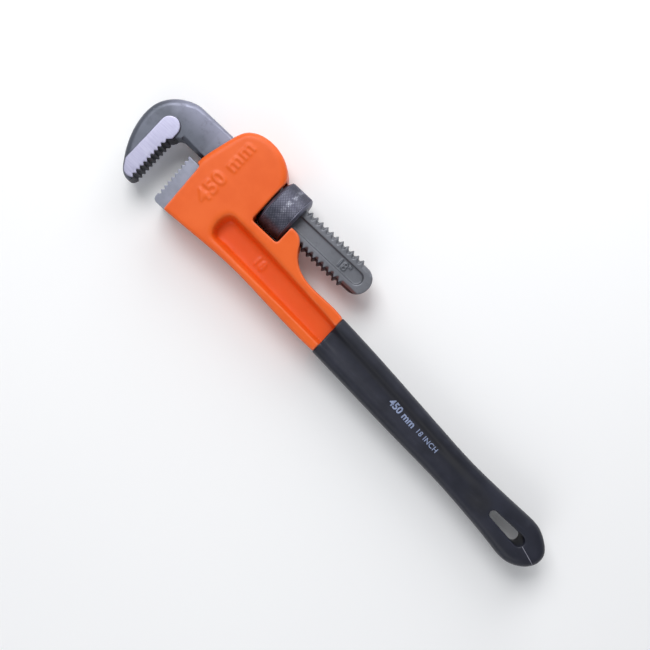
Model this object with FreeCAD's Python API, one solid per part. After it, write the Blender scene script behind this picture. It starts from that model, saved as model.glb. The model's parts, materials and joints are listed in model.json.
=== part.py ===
import FreeCAD, Part
import math
import os

from FreeCAD import Base

# Straight pipe wrench, 18 inch (450 mm class), lying on its side.
#
# Frame (millimetres): the origin is on the screw axis, inside the adjusting nut.
# +X runs along the screw towards the handle's end, +Y towards the hook's back,
# and +Z up, out of the side that the wrench lies on.

# ---------------------------------------------------------------- driving dimensions

# Screw: the threaded tail of the hook jaw, and the nut on it.
PITCH = 4.7                 # single-start right-hand thread
CREST_R = 12.5              # outside of the thread
ROOT_R = 10.4               # bottom of the thread, and the plain tip's half height
TOOTH_CREST_HALF = 0.25     # half width of one thread at the crest
TOOTH_ROOT_HALF = 1.75      # half width of one thread at the root
THREAD_CLEAR = 0.3          # axial and radial play between screw and nut
TOP_CREST_X = 15.2          # one crest on the screw's upper edge
TEETH_PER_EDGE = 20         # threads cut on each edge of the flat bar
FIRST_TOOTH = -9            # number of the first crest, counted from TOP_CREST_X

# Hook jaw.
SHANK_HALF_Y = 12.4         # half height of the plain shank
SHANK_HALF_Z = 8.8          # half thickness of the plain shank
SCREW_HALF_Z = 7.4          # half thickness of the threaded bar
HEAD_HALF_Z = 9.8           # half thickness of the forged head
FORGED_EDGE_R = 5.0         # rounding of the hook's back and shank
TAPER_START_X = -94.0       # the thick head thins gently into the shank
TAPER_END_X = -66.0
PAD_HALF_Z = 11.0           # half width across the ground pads and the teeth
SCREW_START_X = -29.0       # the bar is let into the shank from here
SCREW_END_X = 77.4
HOOK_CREST_X = -87.7        # plane of the hook's tooth crests
HOOK_FIRST_Y = -21.8
HOOK_TOOTH_STEP = 3.45
HOOK_TEETH = 10
TOOTH_DEPTH = 1.7
RECESS_HALF_Y = 5.2         # pocket in each side of the threaded bar
RECESS_FLOOR_Z = 5.4
RECESS_START_X = -18.0
RECESS_END_X = 71.5

# Adjusting nut.
NUT_R = 18.4
NUT_FRONT_X = -9.4
NUT_REAR_X = 11.4
NUT_BEVEL_X = 1.8
NUT_BEVEL_R = 2.9

# Casting: housing loop, fork and handle in one piece.
CHEEK_Z = 16.0              # half thickness of the housing
CHEEK_END_X = 8.0           # the housing is flat up to here, then thins towards the sleeve
NECK_END_X = 90.0
NECK_Z = 12.5               # half thickness of the handle there, inside the sleeve
CHANNEL_HALF_Z = 9.6        # half width of the passage for the shank
CHANNEL_TOP_Y = 14.4
CHANNEL_FLOOR_Y = -15.6
FORK_FLOOR_Y = -14.0
FORK_END_X = 40.0
WINDOW_FRONT_X = -10.4      # walls of the nut's window
WINDOW_REAR_X = 12.4
WINDOW_FLOOR_Y = -19.8
WINDOW_CORNER_R = 2.0
NOSE_X = -62.9              # foremost edge of the cheeks, above the heel jaw
NOSE_LIP_Y = -16.9          # lower end of that edge
CROWN_EDGE_R = 4.5
CAST_EDGE_R = 1.6
WEB_HALF_Z = 5.5            # half thickness of the web between the handle's flanges
POCKET_DRAFT = 3.2          # how far a pocket wall leans in from its mouth to its floor

# Heel jaw and its pin.
HEEL_HALF_Z = 13.0
HEEL_TOP_CREST = (-69.5, -18.35)
HEEL_LEAN = 0.0515          # lean of the crest line: mm in X for each mm down
HEEL_TOOTH_STEP = 3.47
HEEL_TEETH = 9
SEAT_TOP = (-59.6, -17.3)
SEAT_BOTTOM = (-57.6, -54.6)
TANG_HALF_Z = 6.0
TANG_TOP_Y = -21.0
TANG_BOTTOM_Y = -50.0
TANG_END_X = -46.0
PIN_X = -52.5
PIN_Y = -35.5
PIN_R = 2.5
PIN_WALL = 0.9              # the pin is rolled from strip of this thickness
PIN_END_Z = 11.0            # blind end of the pin hole, below the near cheek
PIN_SUNK = 0.6              # how far the pin's other end sits below the far cheek
PIN_PLAY = 0.05
SEAT_PLAY = 0.1             # room round the tang in its slot

# Springs under the shank.
LEAF_TOP_Y = -12.75
LEAF_THICK = 1.0
LEAF_HALF_Z = 7.5
LEAF_FRONT_X = -58.0
LEAF_REAR_X = -16.0
LEAF_CORNER_R = 2.5
COIL_X = -37.0              # the coil spring stands in a blind pocket under the leaf
COIL_WIRE_R = 0.55
COIL_MEAN_R = 3.2
COIL_TURNS = 5.5
POCKET_R = 4.3
POCKET_BOTTOM_Y = -30.0
RIVET_R = 1.4
RIVET_COLLAR_R = 2.4
RIVET_COLLAR_LENGTH = 1.6

# Grip sleeve.
SLEEVE_START_X = 78.5
SLEEVE_WALL = 1.5
GRIP_HALF_Z = 12.8          # half thickness over the sleeve
GRIP_EDGE_R = 6.0
CORE_EDGE_R = 4.5
GROOVE_FLOOR_Z = 9.4        # bottom of the soft channel in the sleeve's side
GROOVE_DRAFT = 5.5
SLOT_SMALL = (240.2, -52.5, 2.8)    # hang slot: centre X, centre Y and radius of each end
SLOT_LARGE = (264.4, -53.6, 4.0)

REACH = 30.0                # how far cutting tools reach past the parts, in Z
Z_AXIS = Base.Vector(0, 0, 1)
X_AXIS = Base.Vector(1, 0, 0)
ORIGIN = Base.Vector(0, 0, 0)


# ---------------------------------------------------------------- small helpers

def vec(x, y, z=0.0):
    return Base.Vector(x, y, z)


def line(a, b):
    return Part.LineSegment(vec(*a), vec(*b)).toShape()


def polyline(points):
    return [line(points[i], points[i + 1]) for i in range(len(points) - 1)]


def curve(points):
    """Smooth curve through points."""
    spline = Part.BSplineCurve()
    spline.interpolate([vec(*p) for p in points])
    return spline.toShape()


def arc(a, mid, b):
    return Part.Arc(vec(*a), vec(*mid), vec(*b)).toShape()


def slab(edges, z_low, z_high):
    """A prism between two heights, from the edges of one closed outline in XY."""
    wire = Part.Wire(Part.__sortEdges__(edges))
    face = Part.Face(wire)
    face.translate(vec(0, 0, z_low))
    return face.extrude(vec(0, 0, z_high - z_low))


def box(x0, x1, y0, y1, z0, z1):
    return Part.makeBox(x1 - x0, y1 - y0, z1 - z0, vec(x0, y0, z0))


def side_prism(points):
    """A prism along Y, from points (x, z)."""
    corners = [vec(x, -120.0, z) for x, z in points]
    corners.append(corners[0])
    face = Part.Face(Part.makePolygon(corners))
    return face.extrude(vec(0, 240.0, 0))


def profile_symmetric(points):
    """Points (x, half height) of a side view, mirrored about z = 0."""
    lower = [(x, -h) for x, h in reversed(points)]
    return list(points) + lower


def screw_profile(inner_r, crest_r, half_inner, half_crest, x):
    """Trapezoid of one thread, standing on the upper edge at the given X."""
    corners = [
        vec(x - half_inner, inner_r, 0),
        vec(x - half_crest, crest_r, 0),
        vec(x + half_crest, crest_r, 0),
        vec(x + half_inner, inner_r, 0),
    ]
    corners.append(corners[0])
    return Part.makePolygon(corners)


def helix_along_x(radius, start_x, turns):
    """Right-hand helix about X that crosses the XY plane on the +Y side at start_x."""
    wire = Part.makeHelix(PITCH, PITCH * turns, radius)
    wire.rotate(ORIGIN, vec(0, 1, 0), 90)
    first = wire.Vertexes[0].Point
    turn = -math.degrees(math.atan2(first.z, first.y))
    wire.rotate(ORIGIN, X_AXIS, turn)
    wire.translate(vec(start_x - first.x, 0, 0))
    return wire


def thread_sweep(profile, path):
    sweep = Part.BRepOffsetAPI.MakePipeShell(path)
    sweep.setFrenetMode(True)
    sweep.add(profile)
    sweep.build()
    sweep.makeSolid()
    return sweep.shape()


# ---------------------------------------------------------------- casting and sleeve

def grip_edges(x_start, inset):
    """Outline of the sleeve, moved inwards: hollow flanks and an egg-shaped end."""
    points = [
        (x_start, -25.9 + 0.068 * (SLEEVE_START_X - x_start)),
        (100.0, -27.3),
        (140.0, -30.8),
        (180.0, -34.7),
        (209.0, -37.0),
        (232.0, -37.4),
        (256.0, -37.2),
        (269.0, -38.0),
        (279.0, -43.0),
        (284.4, -49.0),
        (285.3, -54.0),
        (283.4, -60.0),
        (277.0, -66.3),
        (268.0, -69.8),
        (252.0, -68.6),
        (228.0, -65.4),
        (205.0, -63.0),
        (160.0, -60.7),
        (120.0, -58.6),
        (x_start, -56.2 + 0.058 * (SLEEVE_START_X - x_start)),
    ]
    outer = Part.BSplineCurve()
    outer.interpolate([vec(*p) for p in points])
    moved = []
    for point in points:
        along = outer.tangent(outer.parameter(vec(*point)))[0]
        moved.append((point[0] + inset * along.y, point[1] - inset * along.x))
    return [curve(moved), line(moved[-1], moved[0])]


def slot_edges(extra):
    """Tapered hang slot: two round ends joined by their common tangents."""
    x1, y1, r1 = SLOT_SMALL
    x2, y2, r2 = SLOT_LARGE
    r1 = r1 + extra
    r2 = r2 + extra
    along = math.atan2(y2 - y1, x2 - x1)
    lean = math.acos((r1 - r2) / math.hypot(x2 - x1, y2 - y1))
    up = along + lean
    down = along - lean
    a1 = (x1 + r1 * math.cos(up), y1 + r1 * math.sin(up))
    a2 = (x2 + r2 * math.cos(up), y2 + r2 * math.sin(up))
    b1 = (x1 + r1 * math.cos(down), y1 + r1 * math.sin(down))
    b2 = (x2 + r2 * math.cos(down), y2 + r2 * math.sin(down))
    back = (x1 - r1 * math.cos(along), y1 - r1 * math.sin(along))
    front = (x2 + r2 * math.cos(along), y2 + r2 * math.sin(along))
    return [line(a1, a2), arc(a2, front, b2), line(b2, b1), arc(b1, back, a1)]


def pocket_wire(inset, z):
    """Outline of the long side pocket, shrunk by an inset; its front end is nearly square."""
    upper = [
        (-18.0 + inset, -25.8 - inset, z),
        (50.0, -29.7 - inset, z),
        (SLEEVE_START_X, -31.9 - inset, z),
        (120.0, -34.9 - inset, z),
        (160.0, -38.4 - inset, z),
        (200.0, -42.0 - inset, z),
        (226.0 - inset, -43.6 - inset, z),
    ]
    lower = [
        (226.0 - inset, -58.9 + inset, z),
        (200.0, -57.4 + inset, z),
        (160.0, -55.2 + inset, z),
        (120.0, -53.0 + inset, z),
        (60.0, -50.0 + inset, z),
        (-18.0 + inset, -46.8 + inset, z),
    ]
    corner = 0.7 * inset
    front = [
        lower[-1],
        (-23.8 + corner, -44.6 + corner, z),
        (-26.0 + inset, -39.6 + 0.3 * inset, z),
        (-26.0 + inset, -33.0 - 0.3 * inset, z),
        (-23.8 + corner, -28.0 - corner, z),
        upper[0],
    ]
    right = arc(upper[-1], (232.0 - inset, -51.2, z), lower[0])
    return Part.Wire([curve(upper), right, curve(lower), curve(front)])


def long_pocket(floor_z, mouth_z, inset_floor, inset_mouth):
    """Tapered pocket tool for one side of the handle."""
    floor = pocket_wire(inset_floor, floor_z)
    mouth = pocket_wire(inset_mouth, mouth_z)
    return Part.makeLoft([floor, mouth], True, True)


def both_sides(shape):
    return [shape, shape.mirror(ORIGIN, Z_AXIS)]


def casting_edges():
    """Outline of the housing, fork and front handle, before window and seat are cut."""
    bottom = curve([
        (NOSE_X, SEAT_BOTTOM[1] - 0.2),
        (-30.0, -53.0),
        (0.0, -51.9),
        (30.0, -53.4),
        (SLEEVE_START_X, -55.6),
    ])
    handle_end = line((SLEEVE_START_X, -55.6), (SLEEVE_START_X, -26.2))
    neck = curve([
        (SLEEVE_START_X, -26.2),
        (50.0, -25.1),
        (40.5, -23.7),
        (32.6, -20.2),
        (26.7, -14.3),
        (22.9, -8.6),
        (19.0, -5.9),
        (WINDOW_REAR_X, -5.4),
        (6.0, -5.4),
    ])
    saddle = polyline([(6.0, -5.4), (6.0, -15.0), (-5.0, -15.0), (-5.0, 2.0)])
    crown = curve([
        (-5.0, 2.0),
        (-10.2, 14.0),
        (-15.6, 20.4),
        (-25.4, 25.5),
        (-36.3, 26.9),
        (-46.1, 24.8),
        (-53.0, 19.6),
        (-56.4, 12.2),
        (-60.2, -1.6),
        (-62.2, -10.0),
        (NOSE_X, -16.9),
        (NOSE_X, -30.0),
    ])
    nose = line((NOSE_X, -30.0), (NOSE_X, SEAT_BOTTOM[1] - 0.2))
    return [bottom, handle_end, neck, crown, nose] + saddle


def nut_window():
    """Open-topped window for the nut, with round lower corners."""
    tool = box(WINDOW_FRONT_X, WINDOW_REAR_X, WINDOW_FLOOR_Y, 40, -REACH, REACH)
    corners = []
    for edge in tool.Edges:
        bounds = edge.BoundBox
        if bounds.ZLength > 50 and bounds.YMax < WINDOW_FLOOR_Y + 1:
            corners.append(edge)
    return tool.makeFillet(WINDOW_CORNER_R, corners)


def seat_cut():
    """Everything in front of the heel jaw's seat."""
    edges = polyline([
        (-80.0, NOSE_LIP_Y),
        (NOSE_X, NOSE_LIP_Y),
        SEAT_TOP,
        SEAT_BOTTOM,
        (-57.3, -60.0),
        (-80.0, -60.0),
        (-80.0, NOSE_LIP_Y),
    ])
    return slab(edges, -REACH, REACH)


def handle_core():
    """The cast handle under the sleeve, reaching a little way into the front half."""
    half = GRIP_HALF_Z - SLEEVE_WALL
    core = slab(grip_edges(SLEEVE_START_X - 12.0, SLEEVE_WALL), -half, half)
    return core.makeFillet(CORE_EDGE_R, long_rims(core, 0, 300, -80, -20))


def long_rims(shape, low_x, high_x, low_y, high_y):
    """Long edges around the flat sides whose box lies in the given window."""
    rims = []
    for edge in shape.Edges:
        bounds = edge.BoundBox
        on_side = bounds.ZMin * bounds.ZMax > 0
        inside = bounds.XMin > low_x and bounds.XMax < high_x
        inside = inside and bounds.YMin > low_y and bounds.YMax < high_y
        if on_side and inside and bounds.XLength > 20.0:
            rims.append(edge)
    return rims


def housing_block():
    """Housing and front handle as one thick plate, thinner towards the sleeve."""
    plate = slab(casting_edges(), -CHEEK_Z, CHEEK_Z)
    side = profile_symmetric([(-80.0, CHEEK_Z), (CHEEK_END_X, CHEEK_Z), (NECK_END_X, NECK_Z)])
    plate = plate.common(side_prism(side))
    plate = plate.makeFillet(CROWN_EDGE_R, long_rims(plate, -70, 0, -31, 40))
    plate = plate.makeFillet(CAST_EDGE_R, long_rims(plate, 5, 80, -30, 0))
    plate = plate.makeFillet(CAST_EDGE_R, long_rims(plate, -70, 80, -60, -50))
    return plate.cut([nut_window(), seat_cut()])


def wrench_body():
    body = housing_block()
    body = body.fuse(handle_core())
    cuts = []
    # Passage for the shank through the loop, and the open fork behind the nut.
    cuts.append(box(-80, WINDOW_FRONT_X + 1, CHANNEL_FLOOR_Y, CHANNEL_TOP_Y,
                    -CHANNEL_HALF_Z, CHANNEL_HALF_Z))
    cuts.append(box(WINDOW_REAR_X - 1, FORK_END_X, FORK_FLOOR_Y, 20,
                    -CHANNEL_HALF_Z, CHANNEL_HALF_Z))
    # Blind pocket of the coil spring.
    pocket = Part.makeCylinder(POCKET_R, CHANNEL_FLOOR_Y - POCKET_BOTTOM_Y + 1,
                               vec(COIL_X, POCKET_BOTTOM_Y, 0), vec(0, 1, 0))
    cuts.append(pocket)
    # Slot for the heel jaw's tang, and the hole for its pin from the far side.
    cuts.append(box(-70, TANG_END_X + 2 * SEAT_PLAY, TANG_BOTTOM_Y - SEAT_PLAY, TANG_TOP_Y + SEAT_PLAY,
                    -TANG_HALF_Z - SEAT_PLAY, TANG_HALF_Z + SEAT_PLAY))
    hole_start = -CHEEK_Z - 1
    hole_end = PIN_END_Z + 0.2
    cuts.append(Part.makeCylinder(PIN_R + PIN_PLAY, hole_end - hole_start,
                                  vec(PIN_X, PIN_Y, hole_start), Z_AXIS))
    cuts += both_sides(long_pocket(WEB_HALF_Z, CHEEK_Z + 1.0, POCKET_DRAFT, 0.0))
    slot = slab(slot_edges(SLEEVE_WALL), -GRIP_HALF_Z - 1, GRIP_HALF_Z + 1)
    cuts.append(slot)
    return body.cut(cuts)


def grip_sleeve(casting):
    outer = slab(grip_edges(SLEEVE_START_X, 0.0), -GRIP_HALF_Z, GRIP_HALF_Z)
    outer = outer.makeFillet(GRIP_EDGE_R, long_rims(outer, 0, 300, -80, -20))
    tools = both_sides(long_pocket(GROOVE_FLOOR_Z, GRIP_HALF_Z + 1.0, GROOVE_DRAFT, 1.0))
    tools.append(slab(slot_edges(0.0), -GRIP_HALF_Z - 1, GRIP_HALF_Z + 1))
    return outer.cut(tools).cut(casting)


# ---------------------------------------------------------------- hook jaw

def hook_blank_edges():
    """Side view of the hook and its plain shank before the mouth is cut."""
    top = line((SCREW_START_X, SHANK_HALF_Y), (-84.0, SHANK_HALF_Y))
    back = curve([
        (-84.0, SHANK_HALF_Y),
        (-89.5, 12.0),
        (-99.5, 7.8),
        (-107.4, 0.6),
        (-111.6, -8.0),
        (-112.5, -17.0),
        (-110.9, -28.0),
        (-107.0, -39.0),
        (-100.6, -50.0),
        (-97.0, -54.4),
        (-92.5, -56.7),
        (-88.0, -56.9),
        (-82.0, -55.8),
    ])
    rest = polyline([
        (-82.0, -55.8),
        (-82.0, -SHANK_HALF_Y),
        (SCREW_START_X, -SHANK_HALF_Y),
        (SCREW_START_X, SHANK_HALF_Y),
    ])
    return [top, back] + rest


def mouth_cut():
    """The hook's mouth: tip corner, tooth plane, relief notch and throat."""
    edges = [
        arc((-90.4, -58.0), (-88.5, -55.9), (HOOK_CREST_X, -53.2)),
        line((HOOK_CREST_X, -53.2), (HOOK_CREST_X, -20.6)),
        line((HOOK_CREST_X, -20.6), (-88.9, -19.6)),
        arc((-88.9, -19.6), (-87.2, -18.6), (-86.3, -17.0)),
        arc((-86.3, -17.0), (-84.6, -13.9), (-81.0, -SHANK_HALF_Y)),
        line((-81.0, -SHANK_HALF_Y), (-78.0, -SHANK_HALF_Y)),
        line((-78.0, -SHANK_HALF_Y), (-78.0, -62.0)),
        line((-78.0, -62.0), (-90.4, -62.0)),
        line((-90.4, -62.0), (-90.4, -58.0)),
    ]
    return slab(edges, -REACH, REACH)


def pad_edges():
    """Ground pad beside the teeth: straight flank, round top, tip as the hook's."""
    return [
        arc((-100.2, -11.5), (-93.0, -4.6), (-85.9, -11.5)),
        line((-85.9, -11.5), (-85.9, -16.4)),
        line((-85.9, -16.4), (-88.9, -19.6)),
        line((-88.9, -19.6), (HOOK_CREST_X, -20.6)),
        line((HOOK_CREST_X, -20.6), (HOOK_CREST_X, -53.2)),
        arc((HOOK_CREST_X, -53.2), (-92.6, -54.9), (-97.0, -52.4)),
        line((-97.0, -52.4), (-100.2, -47.3)),
        line((-100.2, -47.3), (-100.2, -11.5)),
    ]


def hook_tooth_gaps():
    """Notches between the hook's teeth, square across the jaw."""
    gaps = []
    for i in range(HOOK_TEETH - 1):
        y = HOOK_FIRST_Y - (i + 0.5) * HOOK_TOOTH_STEP
        reach = HOOK_TOOTH_STEP / 2 - 0.2
        notch = polyline([
            (HOOK_CREST_X, y + reach),
            (HOOK_CREST_X - TOOTH_DEPTH, y + 0.25),
            (HOOK_CREST_X - TOOTH_DEPTH, y - 0.25),
            (HOOK_CREST_X, y - reach),
            (HOOK_CREST_X + 2.0, y - reach),
            (HOOK_CREST_X + 2.0, y + reach),
            (HOOK_CREST_X, y + reach),
        ])
        gaps.append(slab(notch, -REACH, REACH))
    return gaps


def threaded_bar():
    """Flat bar with a round tip, its two edges turned to the root of the thread."""
    length = SCREW_END_X - SCREW_START_X + 2
    rod = Part.makeCylinder(ROOT_R, length, vec(SCREW_START_X - 2, 0, 0), X_AXIS)
    centre_x = SCREW_END_X - ROOT_R
    plan = [
        line((SCREW_START_X - 2, -ROOT_R), (centre_x, -ROOT_R)),
        arc((centre_x, -ROOT_R), (SCREW_END_X, 0), (centre_x, ROOT_R)),
        line((centre_x, ROOT_R), (SCREW_START_X - 2, ROOT_R)),
        line((SCREW_START_X - 2, ROOT_R), (SCREW_START_X - 2, -ROOT_R)),
    ]
    bar = rod.common(slab(plan, -SCREW_HALF_Z, SCREW_HALF_Z))
    teeth = []
    upper = single_tooth()
    for i in range(TEETH_PER_EDGE):
        tooth = upper.copy()
        tooth.translate(vec((FIRST_TOOTH + i) * PITCH, 0, 0))
        teeth.append(tooth)
    lower = single_tooth()
    lower.rotate(ORIGIN, X_AXIS, 180)
    for i in range(TEETH_PER_EDGE - 1):
        tooth = lower.copy()
        tooth.translate(vec((FIRST_TOOTH + i + 0.5) * PITCH, 0, 0))
        teeth.append(tooth)
    return bar.fuse(teeth)


def single_tooth():
    """One thread's stretch on the upper edge, cut off flush with the bar's sides."""
    turns = 0.4
    start_x = TOP_CREST_X - turns / 2 * PITCH
    path = helix_along_x(ROOT_R, start_x, turns)
    profile = screw_profile(ROOT_R - 0.5, CREST_R, TOOTH_ROOT_HALF + 0.36, TOOTH_CREST_HALF, start_x)
    ridge = thread_sweep(profile, path)
    ridge.rotate(ORIGIN, X_AXIS, -turns / 2 * 360)
    return ridge.common(box(-200, 200, -30, 30, -SCREW_HALF_Z, SCREW_HALF_Z))


def stadium(x0, x1, half_y, z):
    """Wire of a slot with round ends, lying at height z."""
    a = x0 + half_y
    b = x1 - half_y
    return Part.Wire([
        line((a, half_y, z), (b, half_y, z)),
        arc((b, half_y, z), (x1, 0, z), (b, -half_y, z)),
        line((b, -half_y, z), (a, -half_y, z)),
        arc((a, -half_y, z), (x0, 0, z), (a, half_y, z)),
    ])


def screw_recess():
    """Drafted pocket in one side of the threaded bar."""
    floor = stadium(RECESS_START_X + 1.0, RECESS_END_X - 1.0, RECESS_HALF_Y - 1.0, RECESS_FLOOR_Z)
    mouth = stadium(RECESS_START_X, RECESS_END_X, RECESS_HALF_Y, SCREW_HALF_Z + 0.5)
    return Part.makeLoft([floor, mouth], True, True)


def hook_jaw():
    plate = slab(hook_blank_edges(), -HEAD_HALF_Z, HEAD_HALF_Z)
    plate = plate.makeFillet(FORGED_EDGE_R, long_rims(plate, -120, 0, -60, 20))
    plate = plate.cut(mouth_cut())
    side = profile_symmetric([
        (-120.0, HEAD_HALF_Z),
        (TAPER_START_X, HEAD_HALF_Z),
        (TAPER_END_X, SHANK_HALF_Z),
        (0.0, SHANK_HALF_Z),
    ])
    plate = plate.common(side_prism(side))
    pads = slab(pad_edges(), -PAD_HALF_Z, PAD_HALF_Z)
    plate = plate.fuse(pads)
    plate = plate.cut(hook_tooth_gaps())
    bar = threaded_bar().cut(both_sides(screw_recess()))
    return plate.fuse(bar).removeSplitter()


# ---------------------------------------------------------------- nut and heel jaw

def adjusting_nut():
    bore = ROOT_R + THREAD_CLEAR
    section = Part.makePolygon([
        vec(NUT_FRONT_X, bore),
        vec(NUT_REAR_X, bore),
        vec(NUT_REAR_X, NUT_R - NUT_BEVEL_R),
        vec(NUT_REAR_X - NUT_BEVEL_X, NUT_R),
        vec(NUT_FRONT_X + NUT_BEVEL_X, NUT_R),
        vec(NUT_FRONT_X, NUT_R - NUT_BEVEL_R),
        vec(NUT_FRONT_X, bore),
    ])
    ring = Part.Face(section).revolve(ORIGIN, X_AXIS, 360)
    slope = (TOOTH_ROOT_HALF - TOOTH_CREST_HALF) / (CREST_R - ROOT_R)
    groove_r = CREST_R + THREAD_CLEAR
    inner_r = ROOT_R - 0.2
    inner_half = TOOTH_CREST_HALF + slope * (CREST_R - inner_r) + THREAD_CLEAR
    outer_half = TOOTH_CREST_HALF - slope * THREAD_CLEAR + THREAD_CLEAR + 0.05
    turns = 7
    start_x = TOP_CREST_X - 7 * PITCH
    path = helix_along_x(ROOT_R, start_x, turns)
    profile = screw_profile(inner_r, groove_r, inner_half, outer_half, start_x)
    groove = thread_sweep(profile, path)
    return ring.cut(groove)


def heel_crest_x(y):
    return HEEL_TOP_CREST[0] + HEEL_LEAN * (HEEL_TOP_CREST[1] - y)


def heel_outline():
    """Side view of the toothed block: teeth, round toe and the flat seat."""
    points = [(SEAT_TOP[0], SEAT_TOP[1]), (heel_crest_x(-17.3), -17.3)]
    for i in range(HEEL_TEETH):
        y = HEEL_TOP_CREST[1] - i * HEEL_TOOTH_STEP
        points.append((heel_crest_x(y), y - 0.3))
        low = y - HEEL_TOOTH_STEP / 2
        points.append((heel_crest_x(low) + TOOTH_DEPTH, low + 0.2))
        points.append((heel_crest_x(low) + TOOTH_DEPTH, low - 0.2))
        points.append((heel_crest_x(y - HEEL_TOOTH_STEP), y - HEEL_TOOTH_STEP + 0.3))
    points.append((heel_crest_x(-51.5), -51.5))
    toe = arc(points[-1], (-66.5, -53.9), (-64.8, -54.6))
    return polyline(points) + [toe] + polyline([(-64.8, -54.6), SEAT_BOTTOM, SEAT_TOP])


def heel_jaw():
    block = slab(heel_outline(), -HEEL_HALF_Z, HEEL_HALF_Z)
    tang = box(HEEL_TOP_CREST[0] + 8.5, TANG_END_X, TANG_BOTTOM_Y, TANG_TOP_Y, -TANG_HALF_Z, TANG_HALF_Z)
    hole = Part.makeCylinder(PIN_R + PIN_PLAY, 2 * REACH, vec(PIN_X, PIN_Y, -REACH), Z_AXIS)
    return block.fuse(tang).cut(hole).removeSplitter()


def heel_jaw_pin():
    """Slotted spring pin, driven in from the far side and blind on the near side."""
    length = PIN_END_Z + CHEEK_Z - PIN_SUNK
    base = vec(PIN_X, PIN_Y, -CHEEK_Z + PIN_SUNK)
    pin = Part.makeCylinder(PIN_R, length, base, Z_AXIS)
    pin = pin.cut(Part.makeCylinder(PIN_R - PIN_WALL, length, base, Z_AXIS))
    gap = PIN_WALL / 2
    return pin.cut(box(PIN_X, PIN_X + PIN_R + 1, PIN_Y - gap, PIN_Y + gap, -REACH, REACH))


# ---------------------------------------------------------------- springs

def flat_spring():
    low = LEAF_TOP_Y - LEAF_THICK
    leaf = box(LEAF_FRONT_X, LEAF_REAR_X, low, LEAF_TOP_Y, -LEAF_HALF_Z, LEAF_HALF_Z)
    corners = [e for e in leaf.Edges if e.BoundBox.YLength > 0.9]
    leaf = leaf.makeFillet(LEAF_CORNER_R, corners)
    return leaf.cut(Part.makeCylinder(RIVET_R, 3, vec(COIL_X, low - 1, 0), vec(0, 1, 0)))


def spring_rivet():
    """Rivet in the leaf with a collar that centres the coil spring."""
    low = LEAF_TOP_Y - LEAF_THICK
    stem = Part.makeCylinder(RIVET_R, LEAF_THICK + 0.5, vec(COIL_X, low - 0.5, 0), vec(0, 1, 0))
    base = vec(COIL_X, low - RIVET_COLLAR_LENGTH, 0)
    collar = Part.makeCylinder(RIVET_COLLAR_R, RIVET_COLLAR_LENGTH, base, vec(0, 1, 0))
    return stem.fuse(collar).removeSplitter()


def coil_spring():
    top = LEAF_TOP_Y - LEAF_THICK - COIL_WIRE_R
    bottom = POCKET_BOTTOM_Y + COIL_WIRE_R
    height = top - bottom
    path = Part.makeHelix(height / COIL_TURNS, height, COIL_MEAN_R)
    start = path.Vertexes[0].Point
    circle = Part.Wire(Part.Circle(start, vec(0, 1, 0), COIL_WIRE_R).toShape())
    sweep = Part.BRepOffsetAPI.MakePipeShell(path)
    sweep.setFrenetMode(True)
    sweep.add(circle)
    sweep.build()
    sweep.makeSolid()
    wire = sweep.shape()
    wire.rotate(ORIGIN, X_AXIS, -90)
    wire.translate(vec(COIL_X, bottom, 0))
    return wire


# ---------------------------------------------------------------- export

def main():
    os.makedirs("parts", exist_ok=True)
    casting = wrench_body()
    nodes = {
        "wrench_body": casting,
        "grip_sleeve": grip_sleeve(casting),
        "hook_jaw": hook_jaw(),
        "adjusting_nut": adjusting_nut(),
        "heel_jaw": heel_jaw(),
        "heel_jaw_pin": heel_jaw_pin(),
        "flat_spring": flat_spring(),
        "spring_rivet": spring_rivet(),
        "coil_spring": coil_spring(),
    }
    for name, shape in nodes.items():
        bounds = shape.BoundBox
        print(name, "valid", shape.isValid(), "solids", len(shape.Solids),
              "volume", round(shape.Volume, 1),
              "x %.1f %.1f y %.1f %.1f z %.1f %.1f" % (
                  bounds.XMin, bounds.XMax, bounds.YMin, bounds.YMax, bounds.ZMin, bounds.ZMax))
        shape.exportStep("parts/" + name + ".step")


main()
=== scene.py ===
# %% [markdown]
# # Pipe wrench
#
# This lesson dresses a finished CAD wrench. The CAD gives every part its true size and its
# joints; Blender gives it the soft cast edges, the knurl, the raised marks and the paint.
# All lengths are metres, in the CAD's own frame: +X runs from the jaws to the handle's end,
# +Y to the back of the hook, and +Z up, out of the side that the wrench lies on.

# %% Load the CAD frame
import json
import math

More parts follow.
